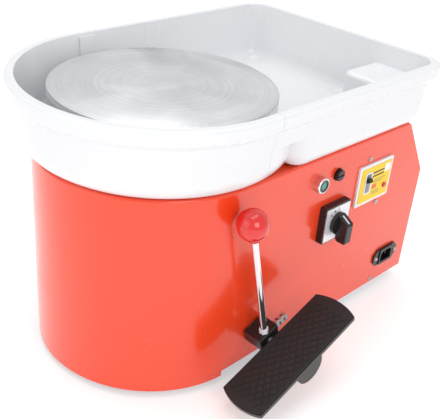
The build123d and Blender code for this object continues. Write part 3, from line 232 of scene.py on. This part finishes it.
def mixColour(tree, factor, a, b):
    node = addNode(tree, "ShaderNodeMix", data_type="RGBA")
    if isinstance(factor, (int, float)):
        node.inputs[0].default_value = factor
    else:
        tree.links.new(factor, node.inputs[0])
    for socket, value in ((node.inputs[6], a), (node.inputs[7], b)):
        if isinstance(value, tuple):
            socket.default_value = (*value, 1.0)
        else:
            tree.links.new(value, socket)
    return node.outputs[2]


def makeFinish(name, spec):
    material = bpy.data.materials.new(name)
    material.use_nodes = True
    tree = material.node_tree
    shader = tree.nodes["Principled BSDF"]
    shader.inputs["Metallic"].default_value = spec.get("metal", 0.0)
    shader.inputs["Coat Weight"].default_value = spec["coat"]
    shader.inputs["Coat Roughness"].default_value = 0.08
    wear = placeGroup(tree, handling, **{
        "Grain Scale": spec["grain"], "Smudge Scale": 14.0, "Smudge Low": spec["rough"][0],
        "Smudge High": spec["rough"][1], "Scratches": spec["scratches"],
    })
    tone = mixColour(tree, wear.outputs["Grain"], spec["dark"], spec["colour"])
    height = mathNode(tree, "SUBTRACT", wear.outputs["Grain"], wear.outputs["Scratch"])
    if name == "turned_aluminium":
        rings = placeGroup(tree, turning, Rings=2600.0, Coarse=420.0)
        height = mathNode(tree, "ADD", height, mathNode(tree, "MULTIPLY", rings.outputs["Height"], 3.0))
        bands = rangeNode(tree, rings.outputs["Tone"], 0.35, 0.65, 0.0, 1.0)
        tone = mixColour(tree, bands, (0.74, 0.75, 0.77), tone)
    if name == "yellow_label":
        tone = printLabel(tree, tone)
    tree.links.new(tone, shader.inputs["Base Color"])
    tree.links.new(wear.outputs["Roughness"], shader.inputs["Roughness"])
    bump = addNode(tree, "ShaderNodeBump")
    bump.inputs["Distance"].default_value = spec["depth"]
    tree.links.new(height, bump.inputs["Height"])
    tree.links.new(bump.outputs["Normal"], shader.inputs["Normal"])
    return material


# plain ruled lines and blocks on the breaker's label, each (y, z, half width, half height, slope, colour)
labelMarks = {
    "upperLine": (0.236, 0.2035, 0.013, 0.0011, 0.0, (0.02, 0.02, 0.02)),
    "lowerLine": (0.236, 0.1985, 0.013, 0.0011, 0.0, (0.02, 0.02, 0.02)),
    "firstRow": (0.241, 0.1925, 0.012, 0.0006, 0.0, (0.25, 0.2, 0.1)),
    "secondRow": (0.238, 0.1895, 0.009, 0.0006, 0.0, (0.25, 0.2, 0.1)),
    "thirdRow": (0.236, 0.1765, 0.008, 0.0006, 0.0, (0.25, 0.2, 0.1)),
    "fourthRow": (0.236, 0.1735, 0.008, 0.0006, 0.0, (0.25, 0.2, 0.1)),
    "whiteBlock": (0.2555, 0.204, 0.0055, 0.0055, 0.0, (0.84, 0.84, 0.84)),
    "orangeBlock": (0.2315, 0.1835, 0.005, 0.0035, 0.0, (0.8, 0.16, 0.02)),
}


def printLabel(tree, tone):
    for centreY, centreZ, halfY, halfZ, slope, ink in labelMarks.values():
        area = placeGroup(tree, patch, **{
            "Centre Y": centreY, "Centre Z": centreZ, "Half Y": halfY, "Half Z": halfZ, "Slope": slope,
        })
        tone = mixColour(tree, area.outputs["Mask"], tone, ink)
    return tone


materials = {name: makeFinish(name, spec) for name, spec in finishes.items()}
slotOf = {part["node"]: part["material_slot"] for part in frame["record"]["subparts"]}
for nodeName, part in cadNodes.items():
    for place in part.material_slots:
        place.material = materials[slotOf[nodeName]]
print("finishes on", len(slotOf), "nodes")

# ---- mesh helpers ----


def finishMesh(name, mesh, slotName, body, replaced=(), sharp=35):
    mesh.materials.clear()
    mesh.materials.append(materials[slotName])
    piece = bpy.data.objects.new(name, mesh)
    bpy.context.collection.objects.link(piece)
    mesh.shade_smooth()
    mesh.set_sharp_from_angle(angle=math.radians(sharp))
    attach(piece, body)
    if replaced:
        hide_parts(*replaced)
    return piece


# a solid turned about local Z from (radius, height) pairs, either from axis to axis or back to where it began
def turned(name, profile, place, steps):
    form = bmesh.new()
    rows = []
    for radius, height in profile:
        if radius < 1e-7:
            rows.append([form.verts.new((0, 0, height))])
            continue
        rows.append([
            form.verts.new((radius * math.cos(2 * math.pi * i / steps),
                            radius * math.sin(2 * math.pi * i / steps), height))
            for i in range(steps)
        ])
    for lower, upper in zip(rows, rows[1:]):
        for i in range(steps):
            j = (i + 1) % steps
            if len(lower) == 1:
                form.faces.new((lower[0], upper[i], upper[j]))
            elif len(upper) == 1:
                form.faces.new((lower[i], upper[0], lower[j]))
            else:
                form.faces.new((lower[i], upper[i], upper[j], lower[j]))
    bmesh.ops.remove_doubles(form, verts=form.verts, dist=1e-6)
    form.transform(place)
    bmesh.ops.recalc_face_normals(form, faces=form.faces)
    mesh = bpy.data.meshes.new(name)
    form.to_mesh(mesh)
    form.free()
    return mesh


# ---- Geometry Nodes helpers ----


def startTree(name, inputs):
    tree = bpy.data.node_groups.new(name, "GeometryNodeTree")
    sockets = {}
    for label, value, kind in inputs:
        socket = tree.interface.new_socket(label, in_out="INPUT", socket_type=kind)
        socket.default_value = value
        sockets[label] = socket.identifier
    tree.interface.new_socket("Geometry", in_out="OUTPUT", socket_type="NodeSocketGeometry")
    return tree, tree.nodes.new("NodeGroupInput"), tree.nodes.new("NodeGroupOutput"), sockets


def endTree(tree, instances, result, slotName):
    real = addNode(tree, "GeometryNodeRealizeInstances")
    paint = addNode(tree, "GeometryNodeSetMaterial")
    paint.inputs["Material"].default_value = materials[slotName]
    tree.links.new(instances, real.inputs[0])
    tree.links.new(real.outputs[0], paint.inputs["Geometry"])
    tree.links.new(paint.outputs[0], result.inputs["Geometry"])


# runs a tree once and keeps what it makes as a plain mesh
def meshFromTree(name, tree, sockets, values, place):
    holder = bpy.data.objects.new(name + "Holder", bpy.data.meshes.new(name + "Empty"))
    bpy.context.collection.objects.link(holder)
    modifier = holder.modifiers.new("nodes", "NODES")
    modifier.node_group = tree
    for label, value in values.items():
        modifier[sockets[label]] = value
    graph = bpy.context.evaluated_depsgraph_get()
    mesh = bpy.data.meshes.new_from_object(holder.evaluated_get(graph), depsgraph=graph)
    holder.modifiers.remove(modifier)
    bpy.data.objects.remove(holder)
    mesh.transform(place)
    return mesh


def frameMatrix(origin, xAxis, yAxis, zAxis):
    turn = Matrix((Vector(xAxis), Vector(yAxis), Vector(zAxis))).transposed()
    return Matrix.Translation(origin) @ turn.to_4x4()


leverHinge = next(j for j in frame["record"]["behaviour"]["joints"] if j["name"] == "lever_rock")
leverAxis = Vector(leverHinge["pos_m"])

# ---- wheel head ----

wheelHead = dict(radius=0.125, top=0.320, skirtBottom=0.293, plateUnder=0.313, hubRadius=0.022,
                 hubBottom=0.275,
                 bore=0.0102, boreTop=0.309, skirtInner=0.119, edge=0.0012, steps=240, ribs=6, ribWidth=0.005, ribDeep=0.009)


def headProfile(spec):
    r, top, low = spec["radius"], spec["top"], spec["skirtBottom"]
    rows = [(0, spec["boreTop"]), (spec["bore"], spec["boreTop"]), (spec["bore"], spec["hubBottom"])]
    rows += [(spec["hubRadius"] - 0.001, spec["hubBottom"]), (spec["hubRadius"], spec["hubBottom"] + 0.001)]
    rows += [(spec["hubRadius"], spec["plateUnder"] - 0.002), (spec["hubRadius"] + 0.002, spec["plateUnder"])]
    rows += [(spec["skirtInner"] - 0.004, spec["plateUnder"]),
             (spec["skirtInner"] - 0.002, spec["plateUnder"] - 0.002)]
    rows += [(spec["skirtInner"], low + 0.0006), (spec["skirtInner"] + 0.0006, low)]
    rows += [(r - 0.0008, low), (r, low + 0.0008)]
    rows += [(r, top - 0.0052), (r - 0.0006, top - 0.0048), (r - 0.0006, top - 0.0042), (r, top - 0.0038)]
    rows += [(r, top - spec["edge"]), (r - spec["edge"] * 0.3, top - spec["edge"] * 0.3),
             (r - spec["edge"], top)]
    rows.append((0, top))
    return rows


headMesh = turned("wheelHead", headProfile(wheelHead), Matrix.Identity(4), wheelHead["steps"])
finishMesh("wheelHead", headMesh, "turned_aluminium", "wheel", ("wheel_head",), sharp=28)


def makeRibTree():
    tree, given, result, sockets = startTree("headRibs", [
        ("Count", 6, "NodeSocketInt"), ("Inner", 0.02, "NodeSocketFloat"), ("Outer", 0.11, "NodeSocketFloat"),
        ("Width", 0.005, "NodeSocketFloat"), ("Deep", 0.009, "NodeSocketFloat"),
    ])
    middle = mathNode(tree, "MULTIPLY", mathNode(tree, "ADD", given.outputs["Inner"],
                                                 given.outputs["Outer"]), 0.5)
    length = mathNode(tree, "SUBTRACT", given.outputs["Outer"], given.outputs["Inner"])
    size = addNode(tree, "ShaderNodeCombineXYZ")
    tree.links.new(length, size.inputs["X"])
    tree.links.new(given.outputs["Width"], size.inputs["Y"])
    tree.links.new(given.outputs["Deep"], size.inputs["Z"])
    bar = addNode(tree, "GeometryNodeMeshCube")
    tree.links.new(size.outputs[0], bar.inputs["Size"])
    ring = addNode(tree, "GeometryNodeMeshCircle")
    tree.links.new(given.outputs["Count"], ring.inputs["Vertices"])
    tree.links.new(middle, ring.inputs["Radius"])
    spot = addNode(tree, "GeometryNodeInputPosition")
    aim = addNode(tree, "FunctionNodeAlignRotationToVector", axis="X")
    tree.links.new(spot.outputs[0], aim.inputs["Vector"])
    copies = addNode(tree, "GeometryNodeInstanceOnPoints")
    tree.links.new(ring.outputs["Mesh"], copies.inputs["Points"])
    tree.links.new(bar.outputs["Mesh"], copies.inputs["Instance"])
    tree.links.new(aim.outputs[0], copies.inputs["Rotation"])
    endTree(tree, copies.outputs[0], result, "turned_aluminium")
    return tree, sockets


ribTree, ribSockets = makeRibTree()
ribPlace = Matrix.Translation((0, 0, wheelHead["plateUnder"] - wheelHead["ribDeep"] / 2 + 0.0003))
ribMesh = meshFromTree("headRibs", ribTree, ribSockets, {
    "Count": wheelHead["ribs"], "Inner": wheelHead["hubRadius"] - 0.001, "Outer": wheelHead["skirtInner"] - 0.001,
    "Width": wheelHead["ribWidth"], "Deep": wheelHead["ribDeep"],
}, ribPlace)
finishMesh("headRibs", ribMesh, "turned_aluminium", "wheel")
print("wheel head made")

# ---- lever knob ----

knob = dict(radius=0.0175, neckRadius=0.007, neck=0.0035, bore=0.0041, lean=14.7, steps=96, rings=48)


def knobProfile(spec):
    r = spec["radius"]
    meet = math.asin(spec["neckRadius"] / r)
    foot = -r - spec["neck"] + 0.001
    rows = [(0, foot + 0.010), (spec["bore"], foot + 0.010), (spec["bore"], foot)]
    rows += [(spec["neckRadius"] - 0.0006, foot), (spec["neckRadius"], foot + 0.0006)]
    for i in range(spec["rings"] + 1):
        angle = math.pi - meet - i * (math.pi - meet) / spec["rings"]
        rows.append((r * math.sin(angle) if i < spec["rings"] else 0, r * math.cos(angle)))
    return rows


lean = math.radians(knob["lean"])
knobLow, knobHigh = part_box("lever_knob")
knobCentre = ((knobLow[0] + knobHigh[0]) / 2, knobLow[1] + knob["radius"], knobHigh[2] - knob["radius"])
knobPlace = frameMatrix(knobCentre, (1, 0, 0), (0, math.cos(lean), math.sin(lean)),
                        (0, -math.sin(lean), math.cos(lean)))
finishMesh("leverKnob", turned("leverKnob", knobProfile(knob), knobPlace, knob["steps"]), "red_plastic",
           "lever",
           ("lever_knob",), sharp=50)
print("lever knob made")

# ---- painted shade: a dark ring in the lamp's mouth ----

# painted shade: a thin black ring laid on the bezel's front face, over the edge of the lens, stands in for the shade
# in the lamp's mouth
lampMouthShade = dict(inner=0.0054, outer=0.0076, deep=0.0003, steps=64)
bezelLow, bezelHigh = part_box("lamp_bezel")
lampPlace = frameMatrix((bezelHigh[0] - 0.0001, (bezelLow[1] + bezelHigh[1]) / 2,
                         (bezelLow[2] + bezelHigh[2]) / 2),
                        (0, 1, 0), (0, 0, 1), (1, 0, 0))
lampProfile = [(lampMouthShade["inner"], 0), (lampMouthShade["inner"], lampMouthShade["deep"]),
               (lampMouthShade["outer"], lampMouthShade["deep"]),
               (lampMouthShade["outer"], 0), (lampMouthShade["inner"], 0)]
finishMesh("lampMouthShade", turned("lampMouthShade", lampProfile, lampPlace, lampMouthShade["steps"]), "black_plastic",
           "housing")
print("lamp ring made")

# ---- pedal tread ----

tread = dict(halfWidth=0.0275, halfLength=0.086, bow=0.007, low=0.0065, top=0.0083, studTop=0.009, tilt=21.4,
             edge=0.0006, pitchAcross=0.0092, pitchAlong=0.0135, gap=0.0008, margin=0.0010, corner=0.0015)


def treadOutline(spec):
    w, end, bow = spec["halfWidth"], spec["halfLength"] - spec["bow"], spec["bow"]
    points = []
    for side in (1, -1):
        for i in range(25):
            x = side * w * (1 - i / 12)
            edgeCut = min(1.0, max(0.0, abs(x) - (w - spec["corner"])) / spec["corner"])
            cornerDrop = spec["corner"] * (1 - math.sqrt(1 - edgeCut ** 2))
            points.append((x, side * (end + bow * (1 - (x / w) ** 2) - cornerDrop)))
    return points


def treadBody(spec):
    form = bmesh.new()
    outline = treadOutline(spec)
    rows = []
    for inset, height in ((0, spec["low"]), (0, spec["top"] - spec["edge"]), (spec["edge"], spec["top"])):
        rows.append([form.verts.new((x * (1 - inset / spec["halfWidth"]),
                                     y * (1 - inset / spec["halfLength"]), height))
                     for x, y in outline])
    count = len(outline)
    for lower, upper in zip(rows, rows[1:]):
        for i in range(count):
            form.faces.new((lower[i], lower[(i + 1) % count], upper[(i + 1) % count], upper[i]))
    form.faces.new(rows[-1])
    form.faces.new(list(reversed(rows[0])))
    form.transform(pedalPlace)
    bmesh.ops.recalc_face_normals(form, faces=form.faces)
    mesh = bpy.data.meshes.new("pedalTread")
    form.to_mesh(mesh)
    form.free()
    return mesh


# two grids of flat-topped diamonds, one set in the gaps of the other
def makeStudTree():
    tree, given, result, sockets = startTree("treadStuds", [
        ("Width", 0.045, "NodeSocketFloat"), ("Length", 0.14, "NodeSocketFloat"), ("Columns", 8, "NodeSocketInt"),
        ("Rows", 22, "NodeSocketInt"), ("Across", 0.01, "NodeSocketFloat"), ("Along", 0.014, "NodeSocketFloat"),
        ("Gap", 0.0005, "NodeSocketFloat"), ("Height", 0.0007, "NodeSocketFloat"),
    ])
    grid = addNode(tree, "GeometryNodeMeshGrid")
    gridSockets = {"Width": "Size X", "Length": "Size Y", "Columns": "Vertices X", "Rows": "Vertices Y"}
    for label, socket in gridSockets.items():
        tree.links.new(given.outputs[label], grid.inputs[socket])
    halfAcross = mathNode(tree, "MULTIPLY", given.outputs["Across"], 0.5)
    halfAlong = mathNode(tree, "MULTIPLY", given.outputs["Along"], 0.5)
    step = addNode(tree, "ShaderNodeCombineXYZ")
    tree.links.new(halfAcross, step.inputs["X"])
    tree.links.new(halfAlong, step.inputs["Y"])
    moved = addNode(tree, "GeometryNodeTransform")
    tree.links.new(grid.outputs["Mesh"], moved.inputs["Geometry"])
    tree.links.new(step.outputs[0], moved.inputs["Translation"])
    both = addNode(tree, "GeometryNodeJoinGeometry")
    tree.links.new(grid.outputs["Mesh"], both.inputs[0])
    tree.links.new(moved.outputs[0], both.inputs[0])
    stud = addNode(tree, "GeometryNodeMeshCone")
    stud.inputs["Vertices"].default_value = 4
    stud.inputs["Radius Bottom"].default_value = 1.0
    stud.inputs["Radius Top"].default_value = 0.9
    tree.links.new(given.outputs["Height"], stud.inputs["Depth"])
    copies = addNode(tree, "GeometryNodeInstanceOnPoints")
    tree.links.new(both.outputs[0], copies.inputs["Points"])
    tree.links.new(stud.outputs["Mesh"], copies.inputs["Instance"])
    stretched = addNode(tree, "ShaderNodeCombineXYZ")
    tree.links.new(mathNode(tree, "SUBTRACT", halfAcross, given.outputs["Gap"]), stretched.inputs["X"])
    tree.links.new(mathNode(tree, "SUBTRACT", halfAlong, given.outputs["Gap"]), stretched.inputs["Y"])
    stretched.inputs["Z"].default_value = 1.0
    tree.links.new(stretched.outputs[0], copies.inputs["Scale"])
    endTree(tree, copies.outputs[0], result, "tread_rubber")
    return tree, sockets


tilt = math.radians(tread["tilt"])
treadLow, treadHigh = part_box("pedal_tread")
pedalMiddle = Vector(((treadLow[0] + treadHigh[0]) / 2, leverAxis.y, leverAxis.z))
pedalPlace = frameMatrix(pedalMiddle, (1, 0, 0), (0, math.cos(tilt), math.sin(tilt)),
                         (0, -math.sin(tilt), math.cos(tilt)))
studColumns = int(2 * (tread["halfWidth"] - 2 * tread["margin"]) / tread["pitchAcross"])
studRows = int(2 * (tread["halfLength"] - tread["bow"] - tread["margin"]) / tread["pitchAlong"])
studTree, studSockets = makeStudTree()
studMesh = meshFromTree("treadStuds", studTree, studSockets, {
    "Width": (studColumns - 1) * tread["pitchAcross"], "Length": (studRows - 1) * tread["pitchAlong"],
    "Columns": studColumns, "Rows": studRows, "Across": tread["pitchAcross"], "Along": tread["pitchAlong"],
    "Gap": tread["gap"], "Height": tread["studTop"] - tread["top"] + 0.0002,
}, pedalPlace @ Matrix.Translation((-tread["pitchAcross"] / 4, -tread["pitchAlong"] / 4,
                                    tread["top"] - 0.0002)))
finishMesh("pedalTread", treadBody(tread), "tread_rubber", "lever", ("pedal_tread",))
finishMesh("treadStuds", studMesh, "tread_rubber", "lever", sharp=20)
print("pedal tread made")

# ---- marks on the switch plate ----

marks = dict(count=3, radius=0.0185, first=90.0, step=22.5, length=0.0032, width=0.0014, thick=0.0002)


def makeMarkTree():
    tree, given, result, sockets = startTree("switchMarks", [
        ("Count", 3, "NodeSocketInt"), ("Radius", 0.018, "NodeSocketFloat"), ("First", 1.57, "NodeSocketFloat"),
        ("Sweep", 0.8, "NodeSocketFloat"), ("Length", 0.003, "NodeSocketFloat"), ("Width", 0.001, "NodeSocketFloat"),
        ("Thick", 0.0002, "NodeSocketFloat"),
    ])
    arc = addNode(tree, "GeometryNodeCurveArc")
    tree.links.new(given.outputs["Count"], arc.inputs["Resolution"])
    tree.links.new(given.outputs["Radius"], arc.inputs["Radius"])
    tree.links.new(given.outputs["First"], arc.inputs["Start Angle"])
    tree.links.new(given.outputs["Sweep"], arc.inputs["Sweep Angle"])
    spots = addNode(tree, "GeometryNodeCurveToPoints", mode="EVALUATED")
    tree.links.new(arc.outputs["Curve"], spots.inputs["Curve"])
    size = addNode(tree, "ShaderNodeCombineXYZ")
    for label, socket in (("Length", "X"), ("Width", "Y"), ("Thick", "Z")):
        tree.links.new(given.outputs[label], size.inputs[socket])
    bar = addNode(tree, "GeometryNodeMeshCube")
    tree.links.new(size.outputs[0], bar.inputs["Size"])
    spot = addNode(tree, "GeometryNodeInputPosition")
    aim = addNode(tree, "FunctionNodeAlignRotationToVector", axis="X")
    tree.links.new(spot.outputs[0], aim.inputs["Vector"])
    copies = addNode(tree, "GeometryNodeInstanceOnPoints")
    tree.links.new(spots.outputs["Points"], copies.inputs["Points"])
    tree.links.new(bar.outputs["Mesh"], copies.inputs["Instance"])
    tree.links.new(aim.outputs[0], copies.inputs["Rotation"])
    endTree(tree, copies.outputs[0], result, "black_plastic")
    return tree, sockets


plateLow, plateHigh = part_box("switch_plate")
plateCentre = (plateHigh[0], (plateLow[1] + plateHigh[1]) / 2, (plateLow[2] + plateHigh[2]) / 2)
platePlace = frameMatrix(plateCentre, (0, 1, 0), (0, 0, 1), (1, 0, 0))
markTree, markSockets = makeMarkTree()
markMesh = meshFromTree("switchMarks", markTree, markSockets, {
    "Count": marks["count"], "Radius": marks["radius"], "First": math.radians(marks["first"]),
    "Sweep": math.radians(marks["step"] * (marks["count"] - 1)), "Length": marks["length"], "Width": marks["width"],
    "Thick": marks["thick"],
}, platePlace)
finishMesh("switchMarks", markMesh, "black_plastic", "housing")
print("switch marks made")

# ---- camera ----

cameraView = dict(place=(0.5772, -0.5126, 0.6016), target=(0.1627, -0.0639, 0.2596), roll=5.3, lens=60.3)


def makeCamera(view):
    data = bpy.data.cameras.new("studioCamera")
    data.lens = view["lens"]
    data.sensor_width = 36
    camera = bpy.data.objects.new("studioCamera", data)
    bpy.context.collection.objects.link(camera)
    back = (Vector(view["place"]) - Vector(view["target"])).normalized()
    level = Vector((-back.y, back.x, 0)).normalized()
    rise = back.cross(level)
    turn = math.radians(view["roll"])
    right = math.cos(turn) * level + math.sin(turn) * rise
    up = -math.sin(turn) * level + math.cos(turn) * rise
    camera.matrix_world = Matrix.Translation(view["place"]) @ Matrix((right, up, back)).transposed().to_4x4()
    bpy.context.scene.camera = camera


makeCamera(cameraView)

# ---- lights and floor ----

lamps = {
    "keyPanel": dict(place=(1.6, -0.5, 1.1), aim=(0.1, 0.0, 0.18), size=0.9, power=7),
    "overhead": dict(place=(-0.2, 0.1, 1.9), aim=(0, 0.1, 0.2), size=1.6, power=13),
    "frontFill": dict(place=(-0.2, -1.8, 0.9), aim=(0, 0, 0.2), size=1.4, power=5),
}


def makeLamp(name, spec):
    data = bpy.data.lights.new(name, "AREA")
    data.size = spec["size"]
    data.energy = spec["power"]
    lamp = bpy.data.objects.new(name, data)
    bpy.context.collection.objects.link(lamp)
    lamp.location = spec["place"]
    lamp.rotation_euler = (Vector(spec["aim"]) - Vector(spec["place"])).to_track_quat("-Z", "Y").to_euler()


for name, spec in lamps.items():
    makeLamp(name, spec)

surround = dict(strength=0.74, reach=8, paper=0.9, paperGlow=0.3, paperRough=0.8)

world = bpy.data.worlds.new("studio")
world.use_nodes = True
world.node_tree.nodes["Background"].inputs["Color"].default_value = (1.0, 1.0, 1.0, 1.0)
world.node_tree.nodes["Background"].inputs["Strength"].default_value = surround["strength"]
bpy.context.scene.world = world
# plain colours, so the paints keep the values given above
bpy.context.scene.view_settings.view_transform = "Standard"

floorMesh = bpy.data.meshes.new("floor")
reach = surround["reach"]
floorMesh.from_pydata([(-reach, -reach, 0), (reach, -reach, 0), (reach, reach, 0), (-reach, reach, 0)], [],
                      [(0, 1, 2, 3)])
floor = bpy.data.objects.new("floor", floorMesh)
bpy.context.collection.objects.link(floor)
paper = bpy.data.materials.new("paper")
paper.use_nodes = True
paperShader = paper.node_tree.nodes["Principled BSDF"]
paperShader.inputs["Base Color"].default_value = (surround["paper"], surround["paper"], surround["paper"], 1)
paperShader.inputs["Roughness"].default_value = surround["paperRough"]
paperShader.inputs["Emission Color"].default_value = (1, 1, 1, 1)
paperShader.inputs["Emission Strength"].default_value = surround["paperGlow"]
floorMesh.materials.append(paper)
print("camera, lamps and floor ready")
